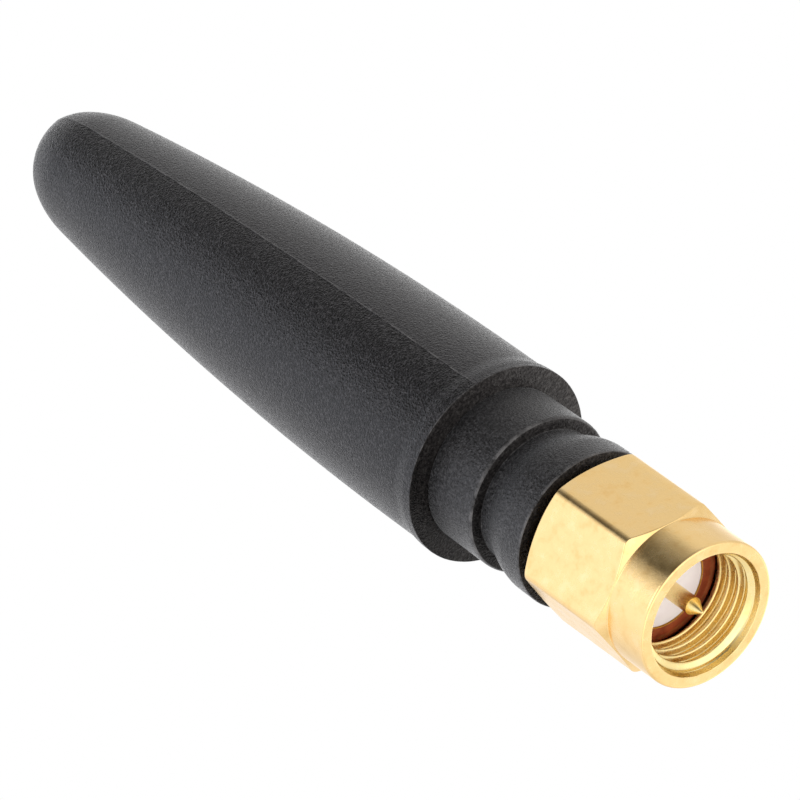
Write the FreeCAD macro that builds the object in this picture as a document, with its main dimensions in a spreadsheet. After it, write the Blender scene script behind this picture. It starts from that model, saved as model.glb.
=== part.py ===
"""Stubby screw-on mobile phone antenna: a rubber radome on a threaded coaxial plug.

The frame: +Z runs from the plug's mouth to the radome's tip, and z = 0 is the front
ring of the coupling nut, which is also what the antenna stands on. The two seams of
the radome's mould lie at +Y and -Y. All sizes are in millimetres and degrees.
"""
import FreeCAD, Part
import math
import os
import Sketcher

SIZES = {
    # Whole antenna
    "overall_len": 54.3,        # mouth of the nut to the tip of the radome
    # Coupling nut
    "nut_flats": 8.0,
    "nut_len": 8.8,
    "nut_corner": 0.28,         # rounding of the bar's corners
    "nut_nose_dia": 7.9,        # turned cylinder in front of the hexagon
    "nut_nose_len": 2.6,
    "nut_chamfer": 30.0,        # angle of both chamfers of the hexagon
    "nut_rear_dia": 7.5,        # flat ring left on the nut's back face
    "nut_turn": 9.7,            # how far the nut stands turned from its corners on X
    "mouth_dia": 6.66,          # countersink at the front face
    "mouth_depth": 0.3,
    "thread_minor": 5.7,        # quarter inch by 36, crest of the inner thread
    "thread_len": 3.35,
    "nut_play": 0.06,           # radial running play on the plug's barrel
    "nut_float": 0.09,          # the nut's play along the plug, each way
    # Snap ring, in two facing grooves
    "ring_back": 1.8,           # behind the plug's shoulder
    "ring_thick": 0.55,
    "ring_sunk": 0.4,           # how far it sits in the barrel
    "ring_proud": 0.26,         # and in the nut
    "ring_gap": 50.0,           # angle of the split
    "ring_edge_play": 0.12,
    # Plug body
    "setback": 3.15,            # outer conductor's face behind the nut's front ring
    "tube_dia": 4.6,
    "tube_wall": 0.11,
    "tube_len": 1.35,           # thin front tube, down to the gasket's seat
    "seat_width": 0.52,         # gasket's seat, from the tube out to the barrel
    "barrel_proud": 0.1,        # barrel's end past the nut's back face
    "stem_step": 0.22,          # from the barrel down to the stem in the bush
    "stem_len": 5.5,
    "barb_depth": 0.2,
    "barb_len": 0.6,
    "barb_at": 1.5,             # first retaining groove, from the barrel's end
    "barb_pitch": 1.6,
    # Gasket
    "gasket_thick": 1.25,       # from its seat almost to the tube's front edge
    "gasket_inset": 0.04,       # smaller than the barrel by this much
    "gasket_room": 0.42,        # radial room round it behind the nut's thread
    # Insulator and centre pin
    "insulator_recess": 0.05,
    "insulator_short": 0.2,     # stops this far before the stem's end
    "slide_play": 0.01,         # radial play of the pieces pressed inside the plug
    "pin_dia": 0.92,
    "pin_reach": 2.91,          # point in front of the insulator
    "pin_tip_len": 0.72,
    "pin_tip_dia": 0.24,
    "pin_root_dia": 1.27,
    "pin_tail_dia": 0.8,
    "pin_tail_len": 2.6,
    # Feed ferrule and radiator coil
    "ferrule_dia": 3.1,
    "ferrule_foot_dia": 3.7,
    "ferrule_foot_len": 0.7,
    "ferrule_len": 6.4,
    "ferrule_bevel": 0.3,
    "coil_wire_dia": 0.6,
    "coil_grip": 0.02,          # radial play of the coil on the ferrule
    "coil_turns": 9.0,
    "coil_lift": 0.1,           # coil above the ferrule's foot
    "coil_room": 0.28,          # radial room round the coil inside the bush
    # Shrink tube round the coil
    "shrink_wall": 0.22,
    "shrink_play": 0.04,
    "shrink_past": 0.8,         # reaches past the coil's end
    # Neck bush
    "neck_gap": 0.35,           # between the nut's back face and the bush
    "neck_end_len": 3.8,        # rim beside the nut to the step
    "neck_step_len": 3.47,      # step to the radome
    "neck_near_dia": 8.46,      # wide neck beside the radome
    "neck_wide_dia": 8.52,      # wide neck at the step
    "step_edge": 0.3,           # rounding of the wide neck at the step
    "neck_slim_dia": 7.26,      # slim neck at the step
    "neck_slim_len": 0.1,       # straight length of the slim neck
    "flare_rise": 2.3,          # length of the slim neck's curved flare
    "flare_dia": 8.5,           # end of the curved flare
    "neck_end_dia": 8.54,       # rim beside the nut
    "neck_edge": 0.12,          # rounding of the rim beside the nut
    "spigot_dia": 7.84,
    "spigot_len": 5.0,          # how far the bush reaches into the radome
    # Radome
    "radome_foot_dia": 10.48,   # round end beside the neck, behind its lip
    "lip_proud": 0.12,          # lip left by the mould round the end face
    "lip_len": 1.1,
    "side_lean": 0.8,           # the side still widens this much at the foot
    "shoulder_dia": 7.4,        # where the side turns into the shoulder
    "nose_len": 4.25,           # shoulder to tip
    "nose_bulge": 3.4,          # radius of the nose
    "seam_lean": 0.5,           # each mould half leans this much towards the other
    "cavity_wide": 0.94,        # room round the shrink tube, low in the cavity
    "cavity_narrow": 0.14,      # and at its top
    "cavity_past": 2.3,         # cavity past the shrink tube
    "cavity_nose": 1.2,         # height of the blunt cone that closes the cavity
    "tip_wall": 5.0,            # rubber between the cavity and the tip
}

doc = FreeCAD.newDocument("Antenna")


class Size:
    """A length that knows both its value and the sheet expression that gives it."""

    def __init__(self, value, text):
        self.value = float(value)
        self.text = text

    def __add__(self, other):
        return combine(self, "+", other, lambda a, b: a + b)

    def __sub__(self, other):
        return combine(self, "-", other, lambda a, b: a - b)

    def __mul__(self, other):
        return combine(self, "*", other, lambda a, b: a * b)

    def __truediv__(self, other):
        return combine(self, "/", other, lambda a, b: a / b)


def as_size(item):
    if isinstance(item, Size):
        return item
    return Size(item, str(item))


def combine(left, sign, right, work):
    left = as_size(left)
    right = as_size(right)
    return Size(work(left.value, right.value), f"({left.text} {sign} {right.text})")


def tangent(angle):
    return Size(math.tan(math.radians(angle.value)), f"tan({angle.text} * 1 deg)")


def cosine(angle):
    angle = as_size(angle)
    return Size(math.cos(math.radians(angle.value)), f"cos({angle.text} * 1 deg)")


def sine(angle):
    return Size(math.sin(math.radians(angle.value)), f"sin({angle.text} * 1 deg)")


def make_sheet():
    sheet = doc.addObject("Spreadsheet::Sheet", "Sizes")
    for row, (name, value) in enumerate(SIZES.items(), start=1):
        sheet.set(f"A{row}", name)
        sheet.set(f"B{row}", str(value))
        sheet.setAlias(f"B{row}", name)
    doc.recompute()


def size(name):
    return Size(SIZES[name], f"Sizes.{name}")


def half(name):
    return size(name) / 2


# Heights along the axis, each from the piece that sets it


def shoulder_height():
    """The gasket's seat on the plug."""
    return size("setback") + size("tube_len")


def barrel_height():
    return size("nut_len") + size("barrel_proud")


def stem_height():
    return barrel_height() + size("stem_len")


def insulator_face():
    return size("setback") + size("insulator_recess")


def insulator_end():
    """The insulator's far end, on which the ferrule stands."""
    return stem_height() - size("insulator_short")


def bush_face():
    return size("nut_len") + size("neck_gap")


def step_height():
    return bush_face() + size("neck_end_len")


def radome_face():
    return step_height() + size("neck_step_len")


def spigot_height():
    return radome_face() + size("spigot_len")


def coil_start():
    """Height of the coil's first turn, at the middle of the wire."""
    rest = insulator_end() + size("ferrule_foot_len") + size("coil_lift")
    return rest + half("coil_wire_dia")


def cavity_height():
    """Where the cavity's side ends and its cone starts."""
    return size("overall_len") - size("tip_wall") - size("cavity_nose")


def shrink_height():
    return cavity_height() - size("cavity_past")


def coil_pitch():
    return (shrink_height() - size("shrink_past") - coil_start()) / size("coil_turns")


def ring_heights():
    """Bottom and top of the snap ring."""
    low = shoulder_height() + size("ring_back")
    return low, low + size("ring_thick")


def ring_groove():
    """Bottom and top of the grooves that face each other round the ring."""
    low, high = ring_heights()
    return low - size("nut_float"), high + size("nut_float")


def tube_inner():
    return half("tube_dia") - size("tube_wall")


def barrel_outer():
    return half("tube_dia") + size("seat_width")


def stem_outer():
    return barrel_outer() - size("stem_step")


def gasket_outer():
    return barrel_outer() - size("gasket_inset")


def ring_inner():
    return barrel_outer() - size("ring_sunk")


def ring_outer():
    return barrel_outer() + size("ring_proud")


def coil_inner():
    return half("ferrule_dia") + size("coil_grip")


def coil_outer():
    return coil_inner() + size("coil_wire_dia")


def shrink_inner():
    return coil_outer() + size("shrink_play")


def shrink_outer():
    return shrink_inner() + size("shrink_wall")


def bind(item, prop, value):
    item.setExpression(prop, as_size(value).text)


# Sketches and turned features


def origin_plane(body, role):
    return next(f for f in body.Origin.OriginFeatures if f.Role == role)


def new_body(label):
    body = doc.addObject("PartDesign::Body", label)
    body.Label = label
    return body


def new_sketch(body, name, role="XZ_Plane"):
    sketch = body.newObject("Sketcher::SketchObject", name)
    sketch.AttachmentSupport = [(origin_plane(body, role), "")]
    sketch.MapMode = "FlatFace"
    return sketch


def constrain(sketch, kind, *parts):
    """Adds a constraint; a last part that is a Size becomes its bound value."""
    if isinstance(parts[-1], Size):
        index = sketch.addConstraint(Sketcher.Constraint(kind, *parts[:-1], parts[-1].value))
        bind(sketch, f"Constraints[{index}]", parts[-1])
    else:
        sketch.addConstraint(Sketcher.Constraint(kind, *parts))


def place_point(sketch, edge, end, radius, height):
    """Fixes one end of an edge at a radius from the axis and a height."""
    if isinstance(radius, Size):
        constrain(sketch, "DistanceX", edge, end, radius)
    else:
        constrain(sketch, "PointOnObject", edge, end, -2)
    constrain(sketch, "DistanceY", edge, end, height)


def arc_between(start, finish, radius, turn):
    """The short arc from start to finish; turn 1 keeps its centre on the left."""
    mid = (start + finish) * 0.5
    chord = finish - start
    reach = math.sqrt(max(radius ** 2 - (chord.Length / 2) ** 2, 0.0))
    left = FreeCAD.Vector(-chord.y, chord.x, 0).normalize()
    centre = mid + left * reach * turn
    first, last = (start, finish) if turn > 0 else (finish, start)
    begin = math.atan2(first.y - centre.y, first.x - centre.x)
    end = math.atan2(last.y - centre.y, last.x - centre.x)
    circle = Part.Circle(centre, FreeCAD.Vector(0, 0, 1), radius)
    return Part.ArcOfCircle(circle, begin, end)


def draw_outline(sketch, outline):
    """Draws a closed outline of (radius, height) points.

    A point with two more items, a radius and a turn of 1 or -1, is reached by an arc.
    """
    points = [FreeCAD.Vector(as_size(p[0]).value, as_size(p[1]).value, 0) for p in outline]
    ends = []
    for index, point in enumerate(outline):
        start, finish = points[index - 1], points[index]
        if len(point) == 4:
            edge = sketch.addGeometry(arc_between(start, finish, point[2].value, point[3]))
            constrain(sketch, "Radius", edge, point[2])
            ends.append((edge, 1, 2) if point[3] > 0 else (edge, 2, 1))
        else:
            edge = sketch.addGeometry(Part.LineSegment(start, finish))
            ends.append((edge, 1, 2))
    for index, point in enumerate(outline):
        edge, _, last = ends[index]
        following, first, _ = ends[(index + 1) % len(ends)]
        constrain(sketch, "Coincident", edge, last, following, first)
        place_point(sketch, edge, last, point[0], as_size(point[1]))


def turn_feature(body, kind, sketch, angle=None):
    feature = body.newObject(kind, sketch.Name + "_turned")
    feature.Profile = sketch
    feature.ReferenceAxis = (sketch, ["V_Axis"])
    feature.Angle = 360.0
    if angle is not None:
        bind(feature, "Angle", angle)
    sketch.Visibility = False
    body.Tip = feature
    return feature


def turned(label, outline, angle=None):
    """A body turned about Z from one outline."""
    body = new_body(label)
    sketch = new_sketch(body, f"{label}_outline")
    draw_outline(sketch, outline)
    turn_feature(body, "PartDesign::Revolution", sketch, angle)
    return body


def groove(body, name, outline):
    """Turns an outline out of a body."""
    sketch = new_sketch(body, f"{body.Label}_{name}")
    draw_outline(sketch, outline)
    turn_feature(body, "PartDesign::Groove", sketch)


# Coupling nut


def make_coupling_nut():
    """Hexagon bar, turned down in front, chamfered at both ends and bored."""
    flats = half("nut_flats")
    corner = flats / cosine(30)
    nose = half("nut_nose_dia")
    shoulder = size("nut_nose_len")
    back = size("nut_len")
    slope = tangent(size("nut_chamfer"))
    clear = corner + 1

    body = new_body("coupling_nut")
    bar = body.newObject("PartDesign::AdditivePrism", "hexagon_bar")
    bar.Polygon = 6
    bind(bar, "Circumradius", corner)
    bind(bar, "Height", back)
    body.Tip = bar
    doc.recompute()
    soften_corners(body, bar)

    groove(body, "front", [
        (nose, 0),
        (clear, 0),
        (clear, shoulder + (clear - nose) * slope),
        (nose, shoulder),
    ])
    rear = half("nut_rear_dia")
    groove(body, "rear_chamfer", [
        (rear, back),
        (clear, back - (clear - rear) * slope),
        (clear, back),
    ])
    thread = half("thread_minor")
    bore = barrel_outer() + size("nut_play")
    relief = gasket_outer() + size("gasket_room")
    seat = shoulder_height() + size("nut_float")
    thread_end = size("mouth_depth") + size("thread_len")
    ring_room = ring_outer() + size("ring_edge_play")
    ring_low, ring_high = ring_groove()
    groove(body, "bore", [
        (0, 0),
        (half("mouth_dia"), 0),
        (thread, size("mouth_depth")),
        (thread, thread_end),
        (relief, thread_end),
        (relief, seat),
        (bore, seat),
        (bore, ring_low),
        (ring_room, ring_low),
        (ring_room, ring_high),
        (bore, ring_high),
        (bore, back),
        (0, back),
    ])
    body.Placement = FreeCAD.Placement(
        FreeCAD.Vector(), FreeCAD.Rotation(FreeCAD.Vector(0, 0, 1), SIZES["nut_turn"])
    )
    bind(body, "Placement.Rotation.Angle", Size(SIZES["nut_turn"], "Sizes.nut_turn * 1 deg"))
    return body


def soften_corners(body, bar):
    """Rounds the six long edges of a hexagon bar, as drawn bar has them."""
    names = []
    for count, edge in enumerate(bar.Shape.Edges, start=1):
        run = edge.Vertexes[1].Point - edge.Vertexes[0].Point
        if abs(run.z) > abs(run.x) + abs(run.y):
            names.append(f"Edge{count}")
    soft = body.newObject("PartDesign::Fillet", "soft_corners")
    soft.Base = (bar, names)
    bind(soft, "Radius", size("nut_corner"))
    bar.Visibility = False
    body.Tip = soft


def make_snap_ring():
    """Split wire ring that holds the nut on the plug and lets it turn."""
    low, high = ring_heights()
    return turned("snap_ring", [
        (ring_inner(), low),
        (ring_outer(), low),
        (ring_outer(), high),
        (ring_inner(), high),
    ], angle=Size(360, "360") - size("ring_gap"))


# Plug


def make_plug_body():
    """Gold plated outer conductor: thin tube in front, barrel, and a barbed stem."""
    bore = tube_inner()
    tube = half("tube_dia")
    barrel = barrel_outer()
    stem = stem_outer()
    ring_seat = ring_inner() - size("slide_play")
    ring_low, ring_high = ring_groove()
    outline = [
        (bore, size("setback")),
        (tube, size("setback")),
        (tube, shoulder_height()),
        (barrel, shoulder_height()),
        (barrel, ring_low),
        (ring_seat, ring_low),
        (ring_seat, ring_high),
        (barrel, ring_high),
        (barrel, barrel_height()),
        (stem, barrel_height()),
    ]
    outline += barb_points(stem)
    outline += [
        (stem, stem_height()),
        (bore, stem_height()),
    ]
    return turned("plug_body", outline)


def barb_points(stem):
    """Two retaining grooves, which the moulded bush fills."""
    root = stem - size("barb_depth")
    points = []
    for count in range(2):
        low = barrel_height() + size("barb_at") + size("barb_pitch") * count
        high = low + size("barb_len")
        points += [(stem, low), (root, low), (root, high), (stem, high)]
    return points


def make_gasket():
    """Soft ring round the tube, with a rounded face towards the mouth."""
    inner = half("tube_dia") + size("slide_play")
    outer = gasket_outer()
    seat = shoulder_height()
    round_off = (outer - inner) / 2
    bend = seat - size("gasket_thick") + round_off
    return turned("gasket", [
        (inner, seat),
        (inner, bend),
        (inner + round_off, bend - round_off, round_off, 1),
        (outer, bend, round_off, 1),
        (outer, seat),
    ])


def make_insulator():
    """White sleeve between the outer conductor and the centre pin."""
    outer = tube_inner() - size("slide_play")
    inner = half("pin_root_dia") + size("slide_play")
    return turned("insulator", [
        (inner, insulator_face()),
        (outer, insulator_face()),
        (outer, insulator_end()),
        (inner, insulator_end()),
    ])


def make_centre_pin():
    """Gold plated contact with a tapered point, a thick root and a soldered tail."""
    slim = half("pin_dia")
    root = half("pin_root_dia")
    tail = half("pin_tail_dia")
    step = insulator_face()
    point = step - size("pin_reach")
    foot = insulator_end()
    return turned("centre_pin", [
        (0, point),
        (half("pin_tip_dia"), point),
        (slim, point + size("pin_tip_len")),
        (slim, step),
        (root, step),
        (root, foot),
        (tail, foot),
        (tail, foot + size("pin_tail_len")),
        (0, foot + size("pin_tail_len")),
    ])


# Feed and radiator


def make_feed_ferrule():
    """Brass stem, soldered on the pin's tail, that carries the coil."""
    tail = half("pin_tail_dia") + size("slide_play")
    stem = half("ferrule_dia")
    foot = half("ferrule_foot_dia")
    low = insulator_end()
    high = low + size("ferrule_len")
    blind = low + size("pin_tail_len") + size("slide_play")
    return turned("feed_ferrule", [
        (tail, low),
        (foot, low),
        (foot, low + size("ferrule_foot_len")),
        (stem, low + size("ferrule_foot_len")),
        (stem, high - size("ferrule_bevel")),
        (stem - size("ferrule_bevel"), high),
        (0, high),
        (0, blind),
        (tail, blind),
    ])


def make_radiator_coil():
    """Spring wire wound on the ferrule's stem."""
    wire = half("coil_wire_dia")
    middle = coil_inner() + wire
    start = coil_start()
    body = new_body("radiator_coil")
    sketch = new_sketch(body, "coil_wire")
    centre = FreeCAD.Vector(middle.value, start.value, 0)
    circle = sketch.addGeometry(Part.Circle(centre, FreeCAD.Vector(0, 0, 1), wire.value))
    constrain(sketch, "Radius", circle, wire)
    place_point(sketch, circle, 3, middle, start)
    helix = body.newObject("PartDesign::AdditiveHelix", "coil_winding")
    helix.Profile = sketch
    helix.ReferenceAxis = (sketch, ["V_Axis"])
    helix.Mode = "pitch-turns-angle"
    bind(helix, "Pitch", coil_pitch())
    bind(helix, "Turns", size("coil_turns"))
    sketch.Visibility = False
    body.Tip = helix
    return body


def make_shrink_tube():
    """Thin sleeve that holds the coil's turns, from the bush's spigot upwards."""
    return turned("shrink_tube", [
        (shrink_inner(), spigot_height()),
        (shrink_outer(), spigot_height()),
        (shrink_outer(), shrink_height()),
        (shrink_inner(), shrink_height()),
    ])


# Moulded pieces


def make_neck_bush():
    """Stepped neck moulded round the plug's stem, with a spigot for the radome."""
    edge = size("neck_edge")
    bevel = size("step_edge")
    near = half("neck_near_dia")
    wide = half("neck_wide_dia")
    slim = half("neck_slim_dia")
    flare = half("flare_dia")
    rim = half("neck_end_dia")
    spigot = half("spigot_dia")
    stem = stem_outer()
    coil_room = coil_outer() + size("coil_room")
    face = bush_face()
    step = step_height()
    top = radome_face()
    flare_top = step - size("neck_slim_len")
    flare_mid = flare_top - size("flare_rise") / 2
    flare_low = flare_top - size("flare_rise")
    # Two equal arcs make the flare's gentle S
    rise = size("flare_rise") / 2
    swell = (flare - slim) / 2
    bend = (rise * rise + swell * swell) / (swell * 2)
    outline = [
        (stem, face),
        (rim - edge, face),
        (rim, face + edge, edge, 1),
        (flare, flare_low),
        (slim + swell, flare_mid, bend, 1),
        (slim, flare_top, bend, -1),
        (slim, step),
        (wide - bevel, step),
        (wide, step + bevel, bevel, 1),
        (near, top),
        (spigot, top),
        (spigot, spigot_height()),
        (coil_room, spigot_height()),
        (coil_room, stem_height()),
        (stem, stem_height()),
    ]
    outline += reversed(barb_points(stem))
    return turned("neck_bush", outline)


def lip_height():
    return radome_face() + size("lip_len")


def side_bulge():
    """Radius of the side, from its lean at the foot and the place of the shoulder."""
    inwards = half("radome_foot_dia") - half("shoulder_dia")
    along = size("overall_len") - size("nose_len") - lip_height()
    reach = inwards * cosine(size("side_lean")) + along * sine(size("side_lean"))
    return (inwards * inwards + along * along) / (reach * 2)


def radome_arcs():
    """First places of the side, shoulder and nose arcs, each as centre, start and end."""
    lean = math.radians(SIZES["side_lean"])
    bulge = side_bulge().value
    nose_radius = SIZES["nose_bulge"]
    start = FreeCAD.Vector(SIZES["radome_foot_dia"] / 2, lip_height().value, 0)
    turn = FreeCAD.Vector(SIZES["shoulder_dia"] / 2, SIZES["overall_len"] - SIZES["nose_len"], 0)
    apex = FreeCAD.Vector(0, SIZES["overall_len"], 0)
    nose = apex - FreeCAD.Vector(0, nose_radius, 0)
    side = start + FreeCAD.Vector(-math.cos(lean), math.sin(lean), 0) * bulge
    inwards = (side - turn).normalize()
    apart = turn - nose
    shoulder_radius = (nose_radius ** 2 - apart.Length ** 2) / (2 * (inwards.dot(apart) + nose_radius))
    shoulder = turn + inwards * shoulder_radius
    join = nose + (nose - shoulder).normalize() * nose_radius
    return (side, start, turn), (shoulder, turn, join), (nose, join, apex)


def make_leaning_form():
    """One mould half's full round form, leaning a little over the parting plane."""
    foot = half("radome_foot_dia")
    low = radome_face()
    arcs = radome_arcs()
    start = arcs[0][1]
    apex = arcs[2][2]
    centre = FreeCAD.Vector(0, low.value, 0)
    brim = FreeCAD.Vector(foot.value + SIZES["lip_proud"], low.value, 0)

    body = new_body("leaning_form")
    sketch = new_sketch(body, "leaning_form_outline")
    for middle, first, last in arcs:
        circle = Part.Circle(middle, FreeCAD.Vector(0, 0, 1), (first - middle).Length)
        begin = math.atan2(first.y - middle.y, first.x - middle.x)
        end = math.atan2(last.y - middle.y, last.x - middle.x)
        sketch.addGeometry(Part.ArcOfCircle(circle, begin, end))
    axis_line = sketch.addGeometry(Part.LineSegment(apex, centre))
    foot_line = sketch.addGeometry(Part.LineSegment(centre, brim))
    lip_line = sketch.addGeometry(Part.LineSegment(brim, start))
    constrain(sketch, "Tangent", 0, 2, 1, 1)
    constrain(sketch, "Tangent", 1, 2, 2, 1)
    constrain(sketch, "Coincident", 2, 2, axis_line, 1)
    constrain(sketch, "Coincident", axis_line, 2, foot_line, 1)
    constrain(sketch, "Coincident", foot_line, 2, lip_line, 1)
    constrain(sketch, "Coincident", lip_line, 2, 0, 1)
    place_point(sketch, 0, 1, foot, lip_height())
    constrain(sketch, "Radius", 0, side_bulge())
    constrain(sketch, "DistanceY", 0, 3, lip_height() + side_bulge() * sine(size("side_lean")))
    constrain(sketch, "DistanceY", 0, 2, size("overall_len") - size("nose_len"))
    constrain(sketch, "Radius", 2, size("nose_bulge"))
    constrain(sketch, "PointOnObject", 2, 3, -2)
    place_point(sketch, axis_line, 1, 0, size("overall_len"))
    place_point(sketch, axis_line, 2, 0, low)
    place_point(sketch, foot_line, 2, foot + size("lip_proud"), low)
    turn_feature(body, "PartDesign::Revolution", sketch)

    # The lean turns about the centre of the radome's end face
    about = FreeCAD.Rotation(FreeCAD.Vector(0, -1, 0), SIZES["seam_lean"])
    body.Placement = FreeCAD.Placement(FreeCAD.Vector(), about, FreeCAD.Vector(0, 0, low.value))
    angle = "(Sizes.seam_lean * 1 deg)"
    body.setExpression("Placement.Rotation.Angle", angle)
    body.setExpression("Placement.Base.x", f"sin{angle} * {low.text}")
    body.setExpression("Placement.Base.z", f"(1 - cos{angle}) * {low.text}")
    return body


def make_parting_box():
    """Block on the parting plane, on the side of one mould half."""
    side = size("radome_foot_dia") * 2
    box = doc.addObject("Part::Box", "parting_box")
    bind(box, "Length", side)
    bind(box, "Width", side)
    bind(box, "Height", size("overall_len"))
    bind(box, "Placement.Base.y", side * -0.5)
    bind(box, "Placement.Base.z", half("nut_len"))
    return box


def make_radome():
    """Rubber sleeve: one mould half's form and its mirror image, less the cavity."""
    one_half = doc.addObject("Part::Common", "radome_half")
    one_half.Base = make_leaning_form()
    one_half.Tool = make_parting_box()
    other_half = doc.addObject("Part::Mirroring", "radome_half_mirrored")
    other_half.Source = one_half
    other_half.Normal = FreeCAD.Vector(1, 0, 0)
    halves = doc.addObject("Part::Fuse", "radome_form")
    halves.Base = one_half
    halves.Tool = other_half
    low = radome_face() - 1
    socket = half("spigot_dia") + size("slide_play")
    wide = shrink_outer() + size("cavity_wide")
    narrow = shrink_outer() + size("cavity_narrow")
    high = cavity_height()
    cavity = turned("radome_cavity", [
        (0, low),
        (socket, low),
        (socket, spigot_height()),
        (wide, spigot_height()),
        (narrow, high),
        (narrow / 2, high + size("cavity_nose")),
        (0, high + size("cavity_nose")),
    ])
    radome = doc.addObject("Part::Cut", "radome")
    radome.Base = halves
    radome.Tool = cavity
    radome.Label = "radome"
    return radome


def check_document():
    for item in doc.Objects:
        if "Invalid" in item.State or "Error" in item.State:
            raise RuntimeError(f"{item.Label} failed: {item.State}")


def export(item):
    shape = item.Shape
    if shape.isNull() or not shape.isValid():
        raise RuntimeError(f"{item.Label} has no valid shape")
    shape.exportStep(f"parts/{item.Label}.step")
    box = shape.BoundBox
    print(f"{item.Label}: {shape.Volume:.2f} mm3, {len(shape.Solids)} solid, "
          f"z {box.ZMin:.2f} to {box.ZMax:.2f}")


make_sheet()
pieces = [
    make_coupling_nut(),
    make_snap_ring(),
    make_plug_body(),
    make_gasket(),
    make_insulator(),
    make_centre_pin(),
    make_feed_ferrule(),
    make_radiator_coil(),
    make_shrink_tube(),
    make_neck_bush(),
    make_radome(),
]
doc.recompute()
check_document()
os.makedirs("parts", exist_ok=True)
for piece in pieces:
    export(piece)
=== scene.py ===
import math

import bmesh
import bpy
from mathutils import Matrix, Vector, noise as perlin


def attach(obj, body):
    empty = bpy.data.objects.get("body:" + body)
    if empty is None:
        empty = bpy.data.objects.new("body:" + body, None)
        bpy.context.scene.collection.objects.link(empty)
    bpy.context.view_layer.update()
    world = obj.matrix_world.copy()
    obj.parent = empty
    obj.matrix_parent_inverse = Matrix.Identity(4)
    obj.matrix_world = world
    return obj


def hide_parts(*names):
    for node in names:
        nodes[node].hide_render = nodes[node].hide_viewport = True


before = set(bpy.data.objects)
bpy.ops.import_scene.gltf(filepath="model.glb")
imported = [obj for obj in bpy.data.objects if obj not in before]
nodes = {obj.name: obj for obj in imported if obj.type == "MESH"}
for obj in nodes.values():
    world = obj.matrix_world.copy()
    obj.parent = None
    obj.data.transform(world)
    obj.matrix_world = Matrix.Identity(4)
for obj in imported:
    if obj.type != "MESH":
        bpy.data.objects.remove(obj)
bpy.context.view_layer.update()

MM = 0.001


# Camera: a long lens, below the mouth of the plug and rolled, as in the photograph


CAMERA_AZIMUTH = -28.8      # degrees, 0 looks along +Y
CAMERA_ELEVATION = -42.3
CAMERA_ROLL = -54.2
CAMERA_DISTANCE = 398.07 * MM
CAMERA_AIM = Vector((-0.13, 0.19, 24.25)) * MM
CAMERA_FOCAL = 360.0        # mm, on a sensor 36 mm wide
SENSOR_WIDTH = 36.0
CLIP_START = 0.01           # metres
CLIP_END = 10.0


def camera_axes():
    """Right, up and back of the photograph's camera, in the part's own frame."""
    azimuth = math.radians(CAMERA_AZIMUTH)
    elevation = math.radians(CAMERA_ELEVATION)
    roll = math.radians(CAMERA_ROLL)
    level = Vector((math.cos(azimuth), math.sin(azimuth), 0))
    back = Vector((
        math.sin(azimuth) * math.cos(elevation),
        -math.cos(azimuth) * math.cos(elevation),
        math.sin(elevation),
    ))
    rise = back.cross(level)
    right = level * math.cos(roll) + rise * math.sin(roll)
    return right, back.cross(right), back


def make_camera():
    right, up, back = camera_axes()
    data = bpy.data.cameras.new("camera")
    data.lens = CAMERA_FOCAL
    data.sensor_width = SENSOR_WIDTH
    data.clip_start = CLIP_START
    data.clip_end = CLIP_END
    camera = bpy.data.objects.new("camera", data)
    bpy.context.scene.collection.objects.link(camera)
    turn = Matrix((right, up, back)).transposed()
    camera.matrix_world = Matrix.Translation(CAMERA_AIM + back * CAMERA_DISTANCE) @ turn.to_4x4()
    bpy.context.scene.camera = camera


# Nodes that several materials and the world share


def new_tree(owner):
    owner.use_nodes = True
    tree = owner.node_tree
    tree.nodes.clear()
    return tree


def math_node(tree, operation, *values, clamp=False):
    """A Math node whose inputs are sockets or numbers."""
    node = tree.nodes.new("ShaderNodeMath")
    node.operation = operation
    node.use_clamp = clamp
    for slot, value in enumerate(values):
        if isinstance(value, (int, float)):
            node.inputs[slot].default_value = value
        else:
            tree.links.new(value, node.inputs[slot])
    return node.outputs[0]


def map_range(tree, value, start, end, smooth=False):
    """0 to 1 as the value goes from start to end."""
    node = tree.nodes.new("ShaderNodeMapRange")
    if smooth:
        node.interpolation_type = "SMOOTHSTEP"
    node.inputs["From Min"].default_value = start
    node.inputs["From Max"].default_value = end
    tree.links.new(value, node.inputs["Value"])
    return node.outputs["Result"]


def colour_ramp(tree, value, stops):
    """Smooth colour ramp over a value; each stop is a position and a colour or a grey level."""
    node = tree.nodes.new("ShaderNodeValToRGB")
    node.color_ramp.interpolation = "EASE"
    marks = node.color_ramp.elements
    while len(marks) < len(stops):
        marks.new(0.5)
    for mark, (position, colour) in zip(marks, stops):
        mark.position = position
        if isinstance(colour, (int, float)):
            colour = (colour, colour, colour)
        mark.color = (*colour, 1)
    tree.links.new(value, node.inputs["Fac"])
    return node.outputs["Color"]


def blend_colours(tree, share, first, second):
    """Mix of two colours, the second a socket or a plain colour; share 0 gives the first."""
    node = tree.nodes.new("ShaderNodeMix")
    node.data_type = "RGBA"
    tree.links.new(share, node.inputs["Factor"])
    tree.links.new(first, node.inputs["A"])
    if isinstance(second, tuple):
        node.inputs["B"].default_value = second
    else:
        tree.links.new(second, node.inputs["B"])
    return node.outputs["Result"]


def split_axes(tree, vector):
    node = tree.nodes.new("ShaderNodeSeparateXYZ")
    tree.links.new(vector, node.inputs[0])
    return node.outputs


def finish_tree(tree, output, share, first, second):
    """Sends the mix of two shaders to a new output node; share 0 gives the first."""
    mix = tree.nodes.new("ShaderNodeMixShader")
    tree.links.new(share, mix.inputs["Fac"])
    tree.links.new(first.outputs[0], mix.inputs[1])
    tree.links.new(second.outputs[0], mix.inputs[2])
    end = tree.nodes.new(output)
    tree.links.new(mix.outputs[0], end.inputs["Surface"])


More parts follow.
